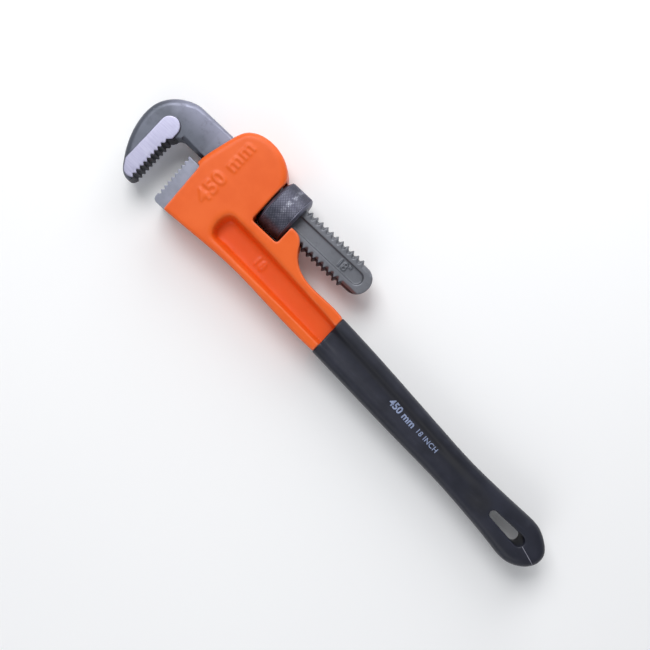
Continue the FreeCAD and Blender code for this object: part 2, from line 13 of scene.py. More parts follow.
import bpy
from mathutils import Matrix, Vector

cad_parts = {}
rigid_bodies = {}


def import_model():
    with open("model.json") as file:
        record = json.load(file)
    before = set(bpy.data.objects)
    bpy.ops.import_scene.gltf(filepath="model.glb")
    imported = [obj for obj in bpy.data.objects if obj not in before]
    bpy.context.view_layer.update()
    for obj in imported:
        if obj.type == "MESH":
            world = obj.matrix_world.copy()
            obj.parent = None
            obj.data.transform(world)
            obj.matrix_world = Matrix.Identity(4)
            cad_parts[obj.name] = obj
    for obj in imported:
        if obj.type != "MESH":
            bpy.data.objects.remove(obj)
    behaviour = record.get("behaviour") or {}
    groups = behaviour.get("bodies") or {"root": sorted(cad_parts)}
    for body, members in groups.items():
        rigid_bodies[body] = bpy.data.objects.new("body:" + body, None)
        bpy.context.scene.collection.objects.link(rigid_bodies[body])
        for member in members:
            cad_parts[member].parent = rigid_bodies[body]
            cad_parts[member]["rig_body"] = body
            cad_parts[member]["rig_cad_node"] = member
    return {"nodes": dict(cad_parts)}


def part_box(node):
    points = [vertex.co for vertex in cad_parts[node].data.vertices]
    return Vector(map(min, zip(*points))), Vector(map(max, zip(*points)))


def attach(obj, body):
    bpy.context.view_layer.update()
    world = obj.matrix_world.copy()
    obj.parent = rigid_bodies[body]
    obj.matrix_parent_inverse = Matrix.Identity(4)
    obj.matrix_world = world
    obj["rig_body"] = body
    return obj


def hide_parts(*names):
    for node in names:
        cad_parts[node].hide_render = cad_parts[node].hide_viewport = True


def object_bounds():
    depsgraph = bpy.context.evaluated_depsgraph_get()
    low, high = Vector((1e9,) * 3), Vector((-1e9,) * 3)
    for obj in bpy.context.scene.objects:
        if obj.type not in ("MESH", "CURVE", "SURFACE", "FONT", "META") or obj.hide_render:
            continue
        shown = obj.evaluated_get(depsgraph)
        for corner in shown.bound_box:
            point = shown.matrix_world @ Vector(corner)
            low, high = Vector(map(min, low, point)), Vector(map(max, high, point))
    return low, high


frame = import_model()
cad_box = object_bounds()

MM = 0.001
print("parts:", ", ".join(sorted(frame["nodes"])))
print("size, mm:", [round((high - low) / MM, 1) for low, high in zip(*cad_box)])

# %% [markdown]
# ## The camera
#
# A wrench on a bench is looked at from straight above, a little more than its own length
# away, so that the ends are seen slightly from the side. The camera is rolled so that the
# wrench lies across the view from corner to corner. A longer lens from further away would
# flatten the jaws; this distance shows a little of the teeth's faces.

# %% Camera
VIEW_CENTRE = (72.7 * MM, -37.3 * MM)
VIEW_DISTANCE = 700 * MM
VIEW_WIDTH = 438.75 * MM
VIEW_ROLL = math.radians(43.2)
SENSOR_MM = 36

bpy.ops.object.select_all(action="DESELECT")
bpy.ops.object.camera_add(
    location=(*VIEW_CENTRE, VIEW_DISTANCE),
    rotation=(0, 0, VIEW_ROLL),
)
camera = bpy.context.object
camera.name = "camera"
camera.data.sensor_width = SENSOR_MM
camera.data.lens = SENSOR_MM * VIEW_DISTANCE / VIEW_WIDTH
camera.data.clip_start = 0.01
camera.data.clip_end = 20
bpy.context.scene.camera = camera
print("lens, mm:", round(camera.data.lens, 1))

# %% [markdown]
# ## Floor and light
#
# A plain pale sheet under the wrench catches its soft shadow. A wide low lamp on the side of
# the hook's back models the rounded edges, a second one high on the same side lights the flat
# faces, a weak third one opposite keeps the shaded walls open, and a pale world fills the
# rest. Wide lamps are what give satin paint and ground steel their long, soft reflections; a
# small lamp would give hard white dots.

# %% Floor
FLOOR_GAP = 0.02 * MM
FLOOR_SIZE = 6
FLOOR_Z = cad_box[0].z - FLOOR_GAP
UP_IN_VIEW = Vector((-math.sin(VIEW_ROLL), math.cos(VIEW_ROLL), 0))
RIGHT_IN_VIEW = Vector((math.cos(VIEW_ROLL), math.sin(VIEW_ROLL), 0))

bpy.ops.mesh.primitive_plane_add(size=FLOOR_SIZE, location=(*VIEW_CENTRE, FLOOR_Z))
floor = bpy.context.object
floor.name = "floor"
print("floor height, mm:", round(FLOOR_Z / MM, 2))

# %% Lamps


def area_lamp(name, sideways, upwards, height, size, power):
    """A square lamp aimed at the middle of the wrench, placed by the view's directions."""
    target = Vector((*VIEW_CENTRE, 0))
    place = target + sideways * RIGHT_IN_VIEW + upwards * UP_IN_VIEW + Vector((0, 0, height))
    bpy.ops.object.light_add(type="AREA", location=place)
    lamp = bpy.context.object
    lamp.name = name
    lamp.data.shape = "SQUARE"
    lamp.data.size = size
    lamp.data.energy = power
    lamp.rotation_euler = (target - place).to_track_quat("-Z", "Y").to_euler()
    print(name, "at", [round(v, 2) for v in place], "size", size, "power", power)


area_lamp("side_lamp", sideways=0.35, upwards=0.9, height=0.5, size=0.7, power=5)
area_lamp("high_lamp", sideways=-0.25, upwards=0.95, height=1.35, size=0.9, power=16.5)
area_lamp("fill_lamp", sideways=-0.3, upwards=-0.95, height=0.8, size=0.8, power=3)

SKY_COLOUR = (0.93, 0.96, 1.0, 1)
SKY_STRENGTH = 0.34

world = bpy.data.worlds.new("studio")
world.use_nodes = True
background = world.node_tree.nodes["Background"]
background.inputs["Color"].default_value = SKY_COLOUR
background.inputs["Strength"].default_value = SKY_STRENGTH
bpy.context.scene.world = world
bpy.context.scene.view_settings.view_transform = "Standard"
print("sky strength:", SKY_STRENGTH)

# %% [markdown]
# ## Tools for the pieces
#
# Three habits save trouble in scripts: select only what the next step should touch, pick
# faces by where they are or which way they face, and apply every modifier at once, so that
# the mesh at hand is always the real one.

# %% Selecting and modifiers


def select_only(*pieces):
    """Selects these and nothing else; the first one becomes the active one."""
    bpy.ops.object.select_all(action="DESELECT")
    for piece in pieces:
        piece.select_set(True)
    bpy.context.view_layer.objects.active = pieces[0]


def apply_modifier(piece, kind, **settings):
    """Adds a modifier with these settings and applies it at once."""
    select_only(piece)
    modifier = piece.modifiers.new(kind.lower(), kind)
    for name, value in settings.items():
        setattr(modifier, name, value)
    bpy.ops.object.modifier_apply(modifier=modifier.name)


def triangles(piece):
    """How many triangles the piece's faces make."""
    return sum(len(face.vertices) - 2 for face in piece.data.polygons)


print("loose triangles in the CAD parts:", sum(triangles(part) for part in frame["nodes"].values()))

# %% [markdown]
# ## Copies of the CAD parts
#
# Most visible pieces start as a copy of the CAD part, because that shape is already true to
# size. The CAD mesh is a heap of loose triangles, so the copy's corners are merged first;
# only then is it one closed skin that modifiers can work on.

# %% Copies of CAD parts
WELD = 0.002 * MM       # corners nearer than this are one


def done():
    """Leaves edit mode, which writes the changes into the mesh."""
    bpy.ops.object.mode_set(mode="OBJECT")


def copy_of_part(node, name):
    """A free copy of a CAD part with its loose triangles merged into one skin."""
    select_only(frame["nodes"][node])
    bpy.ops.object.duplicate(linked=False)
    piece = bpy.context.object
    piece.name = name
    piece.data.name = name
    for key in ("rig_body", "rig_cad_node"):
        del piece[key]
    bpy.ops.object.parent_clear(type="CLEAR_KEEP_TRANSFORM")
    piece.data.materials.clear()
    bpy.ops.object.mode_set(mode="EDIT")
    bpy.ops.mesh.select_all(action="SELECT")
    bpy.ops.mesh.remove_doubles(threshold=WELD)
    done()
    print(name, "starts with", triangles(piece), "triangles")
    return piece


# %% [markdown]
# ## Soft skins
#
# Cast, forged and moulded parts have no sharp edge anywhere. A bevel needs every edge to be
# clean; a voxel skin does not, and it also welds letters onto the body. So a piece is
# wrapped in small even squares, smoothed a few times, and thinned where it is flat.

# %% Skins
SMOOTH_STEP = 0.5


def new_skin(piece, grain):
    """Wraps an even skin of small squares over everything that the piece holds."""
    apply_modifier(piece, "REMESH", mode="VOXEL", voxel_size=grain)


def soften(piece, times, group=""):
    """Evens the skin out a number of times, all over or by a group's weights."""
    apply_modifier(piece, "SMOOTH", factor=SMOOTH_STEP, iterations=times, vertex_group=group)


def thin_out(piece, most):
    """Spends fewer triangles on the flats, then shades the skin smooth."""
    count = triangles(piece)
    if count > most:
        apply_modifier(piece, "DECIMATE", ratio=most / count)
    select_only(piece)
    bpy.ops.object.shade_smooth()
    print(piece.name, "has", count, "then", triangles(piece), "triangles")


print("smoothing step:", SMOOTH_STEP)

# %% [markdown]
# ## Raised letters
#
# The size marks on the real tool are cut into its moulds and dies, so they stand up from the
# metal with blurred sides. Here they are solid letters sunk a little into the body and
# joined to it before the skin goes round both, which blurs them in the same way.

# %% Letters
CAPITAL_SHARE = 0.7     # a capital letter's height as a share of the type size
CURVE_STEPS = 6


def lettering(words, height, middle_at, turn, low_z, high_z, spacing=0.0, boldness=0.0):
    """Letters lying flat, centred on a point, between two heights in Z."""
    bpy.ops.object.select_all(action="DESELECT")
    bpy.ops.object.text_add()
    text = bpy.context.object
    text.data.body = words
    text.data.size = height / CAPITAL_SHARE
    text.data.offset = boldness
    text.data.align_x = "CENTER"
    text.data.align_y = "CENTER"
    text.data.space_character = 1.0 + spacing
    text.data.resolution_u = CURVE_STEPS
    text.data.extrude = (high_z - low_z) / 2
    bpy.ops.object.convert(target="MESH")
    text = bpy.context.object
    text.rotation_euler = (0, 0, turn)
    text.location = (*middle_at, (low_z + high_z) / 2)
    bpy.ops.object.transform_apply(location=True, rotation=True, scale=True)
    bpy.ops.object.mode_set(mode="EDIT")
    bpy.ops.mesh.select_all(action="SELECT")
    bpy.ops.mesh.remove_doubles(threshold=WELD / 2)
    bpy.ops.mesh.normals_make_consistent(inside=False)
    done()
    print("letters", words, "are", [round(d / MM, 1) for d in text.dimensions], "mm")
    return text


def join(piece, *others):
    """Puts the meshes of the others into the piece."""
    select_only(piece, *others)
    bpy.ops.object.join()
    print(piece.name, "now has", triangles(piece), "triangles")


print("curve steps in a letter:", CURVE_STEPS)

# %% [markdown]
# ## The casting
#
# Housing, fork and handle are one iron casting under thick paint, so no edge is sharp and
# the raised mark on the housing is soft. Bevelling each edge by hand would take long and
# still leave hard corners where three edges meet. Instead the letters are set into the CAD
# shape, one even skin is wrapped over both, and a little smoothing melts the edges. The
# walls of the handle's channel slope much more softly, so a vertex group with weights gives
# them their own, longer smoothing first.

# %% Casting
CASTING_GRAIN = 0.6 * MM
MOST_TRIANGLES = 190000
MARK_MIDDLE = (-44.0 * MM, -8.5 * MM)
MARK_HEIGHT = 9.8 * MM
CHEEK_Z = 16.0 * MM
CHANNEL_MARK = (13.0 * MM, -37.3 * MM)
CHANNEL_MARK_HEIGHT = 6.0 * MM
CHANNEL_FLOOR_Z = 5.5 * MM
CHANNEL_TURN = -0.06        # radians, along the handle's slant
SUNK = 1.0 * MM             # letters reach this far down into the metal
SIDE_DEPTH = 3 * MM         # softening acts on the sides, further out than this
MARK_ROOM = (6 * MM, 4.5 * MM)

casting = copy_of_part("wrench_body", "wrench_casting")
mark = lettering(
    "450 mm",
    MARK_HEIGHT,
    MARK_MIDDLE,
    turn=math.pi / 2,
    low_z=CHEEK_Z - 1.5 * SUNK,
    high_z=CHEEK_Z + 0.65 * MM,
    spacing=0.1,
    boldness=0.1 * MM,
)
channel_mark = lettering(
    "18",
    CHANNEL_MARK_HEIGHT,
    CHANNEL_MARK,
    turn=CHANNEL_TURN,
    low_z=CHANNEL_FLOOR_Z - SUNK,
    high_z=CHANNEL_FLOOR_Z + 0.6 * MM,
    spacing=0.1,
    boldness=0.1 * MM,
)
join(casting, mark, channel_mark)
new_skin(casting, CASTING_GRAIN)

# %% Soft walls of the channel
CHANNEL_FRONT_X = -33 * MM
CHANNEL_REAR_X = 75 * MM
CHANNEL_LOW_Y = -48.5 * MM
CHANNEL_TOP_Y = -23.5 * MM
TOP_DROP = 6.5 * MM         # the channel's top comes down by this towards the sleeve
TOP_DROP_FROM_X = 16 * MM
TOP_DROP_OVER = 40 * MM
END_FADE = 5 * MM
SIDE_FADE = 3 * MM
WALL_SOFTENING = 80
EDGE_SOFTENING = 9


def channel_share(x, y):
    """How much of the wall softening a place gets: 1 well inside the channel, 0 outside."""
    drop = min(max((x - TOP_DROP_FROM_X) / TOP_DROP_OVER, 0.0), 1.0)
    top_y = CHANNEL_TOP_Y - TOP_DROP * drop
    lengthwise = min((x - CHANNEL_FRONT_X) / END_FADE, (CHANNEL_REAR_X - x) / END_FADE, 1.0)
    return min(lengthwise, (top_y - y) / SIDE_FADE, (y - CHANNEL_LOW_Y) / SIDE_FADE)


def on_channel_mark(x, y):
    """True where the raised number stands, which has to stay crisp."""
    from_x, from_y = abs(x - CHANNEL_MARK[0]), abs(y - CHANNEL_MARK[1])
    return from_x < MARK_ROOM[0] and from_y < MARK_ROOM[1]


channel_walls = casting.vertex_groups.new(name="channel_walls")
for vertex in casting.data.vertices:
    x, y, z = vertex.co
    share = channel_share(x, y)
    at_side = SIDE_DEPTH < abs(z) < CHEEK_Z + 0.5 * MM
    if share > 0 and at_side and not on_channel_mark(x, y):
        channel_walls.add([vertex.index], share, "REPLACE")
soften(casting, WALL_SOFTENING, "channel_walls")
soften(casting, EDGE_SOFTENING)
thin_out(casting, MOST_TRIANGLES)

# %% [markdown]
# ## The grip sleeve
#
# The sleeve is moulded vinyl over the cast handle. It follows the handle's side channel only
# loosely, so the channel shows as a soft valley that runs out in front of the hang slot. The
# same even skin is used, and then the flat sides alone are smoothed much further, away from
# the thin rim at the front and from the slot.

# %% Sleeve
SLEEVE_GRAIN = 0.6 * MM
SLEEVE_TRIANGLES = 170000
SLEEVE_FRONT_X = 78.5 * MM
FLAT_Z = 7.5 * MM           # the flat sides are further out than this
FLAT_END_X = 262 * MM
SLOT_START_X = 240 * MM
SLOT_END_X = 264 * MM
SLOT_Y = -53 * MM
HANDLE_SLOPE = -0.079       # the handle's middle line falls by this, mm in Y for each mm in X
HANDLE_MIDDLE_Y = -34.6 * MM    # where that line would meet X = 0
RIM_WIDTH = 2.5 * MM        # the front rim keeps its shape
RIM_FADE = 12 * MM
SLOT_LIP = 5 * MM           # so does a lip round the slot, and it fades over as much again
RUN_OUT_START_X = 185 * MM
RUN_OUT_FADE = 20 * MM
RUN_OUT_HALF_WIDTH = 10 * MM
RUN_OUT_SIDE_FADE = 5 * MM
SIDE_SOFTENING = 140
RUN_OUT_SOFTENING = 420
RIM_SOFTENING = 5


def side_share(x, y):
    """1 on the sleeve's flat sides, fading to 0 at the front rim and round the hang slot."""
    nearest_x = min(max(x, SLOT_START_X), SLOT_END_X)
    from_slot = math.hypot(x - nearest_x, y - SLOT_Y)
    from_rim = x - SLEEVE_FRONT_X - RIM_WIDTH
    return min(1.0, from_rim / RIM_FADE, (from_slot - SLOT_LIP) / SLOT_LIP)


def run_out_share(x, y):
    """1 where the valley runs out in front of the slot, fading to 0 around that."""
    from_middle = abs(y - (HANDLE_SLOPE * x + HANDLE_MIDDLE_Y))
    lengthwise = (x - RUN_OUT_START_X) / RUN_OUT_FADE
    return min(lengthwise, (RUN_OUT_HALF_WIDTH - from_middle) / RUN_OUT_SIDE_FADE)


sleeve = copy_of_part("grip_sleeve", "vinyl_sleeve")
new_skin(sleeve, SLEEVE_GRAIN)
flat_sides = sleeve.vertex_groups.new(name="flat_sides")
run_out = sleeve.vertex_groups.new(name="run_out")
for vertex in sleeve.data.vertices:
    x, y, z = vertex.co
    share = side_share(x, y)
    if abs(z) > FLAT_Z and x < FLAT_END_X and share > 0:
        flat_sides.add([vertex.index], share, "REPLACE")
        end_share = min(share, run_out_share(x, y))
        if end_share > 0:
            run_out.add([vertex.index], end_share, "REPLACE")
soften(sleeve, SIDE_SOFTENING, "flat_sides")
soften(sleeve, RUN_OUT_SOFTENING, "run_out")
soften(sleeve, RIM_SOFTENING)
thin_out(sleeve, SLEEVE_TRIANGLES)

# %% [markdown]
# ## Print and seam on the sleeve
#
# The size is printed on the vinyl in thin pale ink, and where the mould closed, a fine seam
# runs from the hang slot to the end, its pale colour a painted highlight along the ridge. Both
# follow the soft surface. A flat shape is laid over the sleeve, cut into short pieces, dropped
# straight down on it and thickened by less than a hair's breadth, as thin as ink and a seam are.

# %% Picking faces and edges


def pick(piece, kind, test):
    """Enters edit mode with only the vertices, edges or faces that pass the test selected."""
    select_only(piece)
    bpy.ops.object.mode_set(mode="EDIT")
    bpy.ops.mesh.select_mode(type=kind)
    bpy.ops.mesh.select_all(action="DESELECT")
    bpy.ops.object.mode_set(mode="OBJECT")
    mesh = piece.data
    items = {"VERT": mesh.vertices, "EDGE": mesh.edges, "FACE": mesh.polygons}[kind]
    for item in items:
        item.select = test(item)
    bpy.ops.object.mode_set(mode="EDIT")


print("faces on the sleeve:", len(sleeve.data.polygons))

# %% Laying print on the sleeve
ABOVE_SLEEVE_Z = 25 * MM
INK_GAP = 0.05 * MM
INK_THICKNESS = 0.06 * MM
PRINT_TURN = math.radians(-4.8)


def lay_on_sleeve(piece, cuts, thickness):
    """Drops a flat piece on the sleeve's near side and thickens it."""
    pick(piece, "FACE", lambda f: True)
    bpy.ops.mesh.quads_convert_to_tris()
    bpy.ops.mesh.subdivide(number_cuts=cuts)
    done()
    apply_modifier(
        piece,
        "SHRINKWRAP",
        target=sleeve,
        offset=INK_GAP,
        wrap_method="PROJECT",
        use_project_z=True,
        use_negative_direction=True,
        use_positive_direction=False,
    )
    apply_modifier(piece, "SOLIDIFY", thickness=thickness, offset=1.0)
    print(piece.name, "lies at z, mm:", round(max(v.co.z for v in piece.data.vertices) / MM, 2))


def flat_print(words, height, middle_at, spacing, boldness):
    """One line of print, still flat and above the sleeve."""
    return lettering(
        words,
        height,
        middle_at,
        turn=PRINT_TURN,
        low_z=ABOVE_SLEEVE_Z,
        high_z=ABOVE_SLEEVE_Z,
        spacing=spacing,
        boldness=boldness,
    )


ink = flat_print("450 mm", 4.9 * MM, (150.6 * MM, -45.2 * MM), 0.0, 0.22 * MM)
ink_inches = flat_print("18 INCH", 3.5 * MM, (174.8 * MM, -47.3 * MM), 0.08, 0.07 * MM)
join(ink, ink_inches)
ink.name = "size_print"
lay_on_sleeve(ink, cuts=2, thickness=INK_THICKNESS)

# %% Seam
SEAM_START = Vector((268.6, -55.0, 0)) * MM
SEAM_END = Vector((282.2, -59.2, 0)) * MM
SEAM_WIDTH = 0.38 * MM
SEAM_THICKNESS = 0.1 * MM
SEAM_PIECES = 24
along = SEAM_END - SEAM_START
seam_middle = (SEAM_START + SEAM_END) / 2

bpy.ops.object.select_all(action="DESELECT")
bpy.ops.mesh.primitive_grid_add(
    x_subdivisions=SEAM_PIECES,
    y_subdivisions=1,
    size=1,
    location=(seam_middle.x, seam_middle.y, ABOVE_SLEEVE_Z),
    rotation=(0, 0, math.atan2(along.y, along.x)),
)
seam = bpy.context.object
seam.name = "mould_seam"
seam.scale = (along.length, SEAM_WIDTH, 1)
bpy.ops.object.transform_apply(location=True, rotation=True, scale=True)
lay_on_sleeve(seam, cuts=1, thickness=SEAM_THICKNESS)

# %% [markdown]
# ## The hook jaw
#
# The hook is a drop forging: rounded back, flat sides, and two ground pads beside the teeth.
# Its tail is a flat bar with the thread cut on both edges and a recess in each side, with
# the size raised in the recess. A finer skin keeps the teeth and the thread crisp.

# %% Hook jaw
HOOK_GRAIN = 0.3 * MM
HOOK_SOFTENING = 3
SCREW_MARK = (55.0 * MM, -0.2 * MM)
SCREW_MARK_HEIGHT = 5.6 * MM
RECESS_FLOOR_Z = 5.4 * MM

hook = copy_of_part("hook_jaw", "hook_jaw_forging")
size_mark = lettering(
    '18"',
    SCREW_MARK_HEIGHT,
    SCREW_MARK,
    turn=0.0,
    low_z=RECESS_FLOOR_Z - 0.5 * SUNK,
    high_z=RECESS_FLOOR_Z + 0.7 * MM,
    boldness=0.1 * MM,
)
join(hook, size_mark)
new_skin(hook, HOOK_GRAIN)
soften(hook, HOOK_SOFTENING)
thin_out(hook, MOST_TRIANGLES)

# %% [markdown]
# ## The heel jaw
#
# The toothed block in the casting is a small machined piece of tool steel, so its edges stay
# nearly sharp. It gets the finest skin and only a touch of smoothing.

# %% Heel jaw
HEEL_GRAIN = 0.26 * MM
HEEL_SOFTENING = 2
HEEL_TRIANGLES = 150000

heel = copy_of_part("heel_jaw", "heel_jaw_block")
new_skin(heel, HEEL_GRAIN)
soften(heel, HEEL_SOFTENING)
thin_out(heel, HEEL_TRIANGLES)

# %% [markdown]
# ## The adjusting nut
#
# The thumb turns this nut, so it is covered in a diamond knurl. A knurl is real geometry
# here: a fine grid of squares is laid round a tube, each square is split from its middle,
# the old sides are removed so that diamonds remain, and each diamond is poked outwards to a
# point. The ends are drawn in to a bevel and closed, and the CAD nut cuts the thread.

# %% Knurled ring
NUT_LOW, NUT_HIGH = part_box("adjusting_nut")
NUT_R = NUT_HIGH.y
KNURL_DEPTH = 0.42 * MM
KNURL_AROUND = 72
KNURL_ALONG = 10
KNURL_MARGIN = 0.12 * MM    # the diamonds' points stay this far inside the CAD nut
LAND = 0.35 * MM            # plain strip between the knurl and each bevel
LAND_STEP = 0.15 * MM
BEVEL_X = 1.8 * MM
BEVEL_R = 2.9 * MM
nut_middle_x = (NUT_LOW.x + NUT_HIGH.x) / 2
knurl_half = (NUT_HIGH.x - NUT_LOW.x) / 2 - BEVEL_X - LAND
base_r = NUT_R - KNURL_DEPTH - KNURL_MARGIN

bpy.ops.object.select_all(action="DESELECT")
bpy.ops.mesh.primitive_cylinder_add(
    vertices=KNURL_AROUND,
    radius=base_r,
    depth=2 * knurl_half,
    end_fill_type="NOTHING",
    location=(nut_middle_x, 0, 0),
    rotation=(0, math.pi / 2, 0),
)
nut = bpy.context.object
nut.name = "knurled_nut"
nut.data.name = "knurled_nut"
bpy.ops.object.transform_apply(location=True, rotation=True, scale=True)


def middle(piece, edge):
    """The point halfway along an edge."""
    ends = [piece.data.vertices[i].co for i in edge.vertices]
    return (ends[0] + ends[1]) / 2


pick(nut, "EDGE", lambda edge: abs(middle(nut, edge).x - nut_middle_x) < 0.1 * MM)
bpy.ops.mesh.subdivide(number_cuts=KNURL_ALONG - 1)
done()
print("knurl grid:", len(nut.data.polygons), "squares")

# %% Diamonds
square_edges = {tuple(sorted(e.vertices)) for e in nut.data.edges}
pick(nut, "FACE", lambda f: True)
bpy.ops.mesh.poke(offset=0.0)
done()


def old_inner_edge(edge):
    """True for a side of one of the first squares, except on the two rims."""
    on_rim = abs(abs(middle(nut, edge).x - nut_middle_x) - knurl_half) < 0.05 * MM
    return tuple(sorted(edge.vertices)) in square_edges and not on_rim


pick(nut, "EDGE", old_inner_edge)
bpy.ops.mesh.dissolve_edges(use_verts=False)
done()
pick(nut, "FACE", lambda f: len(f.vertices) == 4)
bpy.ops.mesh.poke(offset=KNURL_DEPTH)
done()
print("knurl faces:", len(nut.data.polygons))

# %% Ends of the nut


def end_ring(side):
    """Selects the rim of one end, the front (-1) or the rear (1)."""
    edge_x = nut_middle_x + side * knurl_half
    pick(nut, "EDGE", lambda e: abs(middle(nut, e).x - edge_x) < 0.02 * MM)


def draw_in(step_x, radius, from_radius):
    """Extrudes the selected rim along the axis and brings it to a new radius."""
    bpy.ops.mesh.extrude_region_move(TRANSFORM_OT_translate={"value": (step_x, 0, 0)})
    share = radius / from_radius
    bpy.ops.transform.resize(value=(1, share, share), center_override=(nut_middle_x, 0, 0))


# Each row is a step outwards along the axis and the radius that the rim then has.
face_r = NUT_R - BEVEL_R
END_STEPS = (
    (LAND, base_r + LAND_STEP),
    (BEVEL_X - 0.5 * MM, face_r + 0.45 * MM),
    (0.35 * MM, face_r - 0.35 * MM),
    (0.1 * MM, face_r - 1.2 * MM),
)

for side in (-1, 1):
    end_ring(side)
    rim_r = base_r
    for step, radius in END_STEPS:
        draw_in(side * step, radius, rim_r)
        rim_r = radius
    bpy.ops.mesh.edge_face_add()
    done()
pick(nut, "FACE", lambda f: True)
bpy.ops.mesh.normals_make_consistent(inside=False)
done()

CRISP_ANGLE = math.radians(28)

cutter = copy_of_part("adjusting_nut", "thread_cutter")
apply_modifier(nut, "BOOLEAN", operation="INTERSECT", solver="EXACT", object=cutter)
bpy.data.objects.remove(cutter)
select_only(nut)
bpy.ops.object.shade_smooth_by_angle(angle=CRISP_ANGLE)
print("nut triangles:", triangles(nut), "size:", [round(d / MM, 2) for d in nut.dimensions])

# %% [markdown]
# ## Shader maths
#
# Materials here are small programs. Writing them as Python sums keeps them readable, so one
# class wraps a value in the node tree: adding or multiplying two of them adds a Math node.
# Everything else comes from one method that makes a node, sets it up and links it.

# %% Node helpers


class Value:
    """A number that varies over the surface. Sums and products of it add Math nodes."""

    def __init__(self, paint, socket):
        self.paint = paint
        self.socket = socket

    def maths(self, operation, first, second=0.0):
        """One Math node on one or two values."""
        inputs = {0: first, 1: second}
        return self.paint.node("ShaderNodeMath", {"operation": operation}, inputs)

    def __add__(self, other):
        return self.maths("ADD", self, other)

    def __sub__(self, other):
        return self.maths("SUBTRACT", self, other)

    def __rsub__(self, other):
        return self.maths("SUBTRACT", other, self)

    def __mul__(self, other):
        return self.maths("MULTIPLY", self, other)

    def __pow__(self, other):
        return self.maths("POWER", self, other)

    def __abs__(self):
        return self.maths("ABSOLUTE", self)

    __radd__ = __add__
    __rmul__ = __mul__


class Paint:
    """One material, with the few nodes that this wrench's finishes need."""

    def __init__(self, name):
        self.material = bpy.data.materials.new(name)
        self.material.use_nodes = True
        self.tree = self.material.node_tree
        self.shader = self.tree.nodes["Principled BSDF"]
        self.place = self.node("ShaderNodeTexCoord", {}, {}, "Object")

    def put(self, socket, value):
        """Links a value to a socket, or sets a plain number or colour on it."""
        if isinstance(value, Value):
            value = value.socket
        if isinstance(value, bpy.types.NodeSocket):
            self.tree.links.new(value, socket)
        else:
            socket.default_value = value

    def node(self, kind, settings, inputs, output=0):
        """Adds a node: its settings first, then its inputs; returns one output."""
        made = self.tree.nodes.new(kind)
        for name, value in settings.items():
            setattr(made, name, value)
        for name, value in inputs.items():
            self.put(made.inputs[name], value)
        return Value(self, made.outputs[output])

    def stretched(self, scale):
        """The place on the piece, scaled per axis, for patterns that run one way."""
        inputs = {"Vector": self.place, "Scale": scale}
        return self.node("ShaderNodeMapping", {"vector_type": "POINT"}, inputs)

    def noise(self, per_metre, detail=3.0, roughness=0.55, vector=None):
        """Soft random spots, this many to the metre."""
        inputs = {"Scale": per_metre, "Detail": detail, "Roughness": roughness}
        inputs["Vector"] = self.place if vector is None else vector
        return self.node("ShaderNodeTexNoise", {}, inputs, "Fac")

    def ramp(self, value, low, high, low_out=0.0, high_out=1.0):
        """Spreads the part of value between low and high smoothly over the output range."""
        settings = {"interpolation_type": "SMOOTHSTEP"}
        inputs = {"Value": value, 1: low, 2: high, 3: low_out, 4: high_out}
        return self.node("ShaderNodeMapRange", settings, inputs)

    def axis(self, name):
        """The place along X, Y or Z, in metres."""
        return self.node("ShaderNodeSeparateXYZ", {}, {0: self.place}, name.upper())

    def pointiness(self):
        """Above a half on outer edges, below a half in hollows."""
        return self.node("ShaderNodeNewGeometry", {}, {}, "Pointiness")

    def mix(self, amount, first, second):
        """Blends two colours. Inputs 6 and 7 and output 2 are the node's colour sockets."""
        inputs = {0: amount, 6: first, 7: second}
        return self.node("ShaderNodeMix", {"data_type": "RGBA"}, inputs, 2)

    def bump(self, height, distance, strength=1.0):
        """Tilts the light on the surface as if it had this relief."""
        inputs = {"Height": height, "Distance": distance, "Strength": strength}
        return self.node("ShaderNodeBump", {}, inputs)

    def finish(self, **inputs):
        """Sets the shader's inputs by their names, with _ for a space."""
        for name, value in inputs.items():
            self.put(self.shader.inputs[name.replace("_", " ")], value)
        print(self.material.name, "has", len(self.tree.nodes), "nodes")
        return self.material


def srgb(red, green, blue):
    """A colour given in 0..255 steps, as the shader wants it."""
    steps = (red, green, blue)
    linear = [((step / 255 + 0.055) / 1.055) ** 2.4 if step > 10 else step / 3294.6 for step in steps]
    return (*linear, 1.0)


print("mid grey:", [round(c, 3) for c in srgb(128, 128, 128)])

# %% [markdown]
# ## Finishes
#
# Every finish is a colour that varies a little, a gloss that varies with it, and a faint
# relief. Flat values would look like plastic toys; image textures would need a file and an
# unwrapped mesh. Noise on the piece's own coordinates needs neither, and stays on the piece
# when it moves.
#
# Paint on a casting is never one flat orange: its tone varies, and its surface has the faint
# peel of sprayed powder. Light is painted in as well: the edges are paler as a painted
# highlight, where the paint is also thinner, the hollows darker as painted shade, and the
# channel and the sides a deeper orange as painted shade and bounced light. The mesh's own
# pointiness tells edges from hollows, so nothing is painted by hand.

# %% Orange powder coat
RECESS_SHADE_BELOW_Z = 8 * MM
RECESS_SHADE_ENDS_ABOVE_Z = 14.5 * MM

paint = Paint("orange_powder_coat")
blotch = paint.noise(38, 3)
grain = paint.noise(1500, 2)
peel = paint.noise(520, 2)
tone = paint.mix(paint.ramp(blotch, 0.3, 0.7), srgb(223, 90, 24), srgb(231, 100, 36))
# Painted highlight: outer edges are paler and pinker, where the paint is also thinner.
edge = paint.ramp(paint.pointiness(), 0.505, 0.56)
# Painted shade: hollows are darker.
hollow_shade = paint.ramp(paint.pointiness(), 0.495, 0.44)
tone = paint.mix(edge * 0.6, tone, srgb(234, 142, 112))
tone = paint.mix(hollow_shade * 0.15, tone, srgb(212, 68, 16))
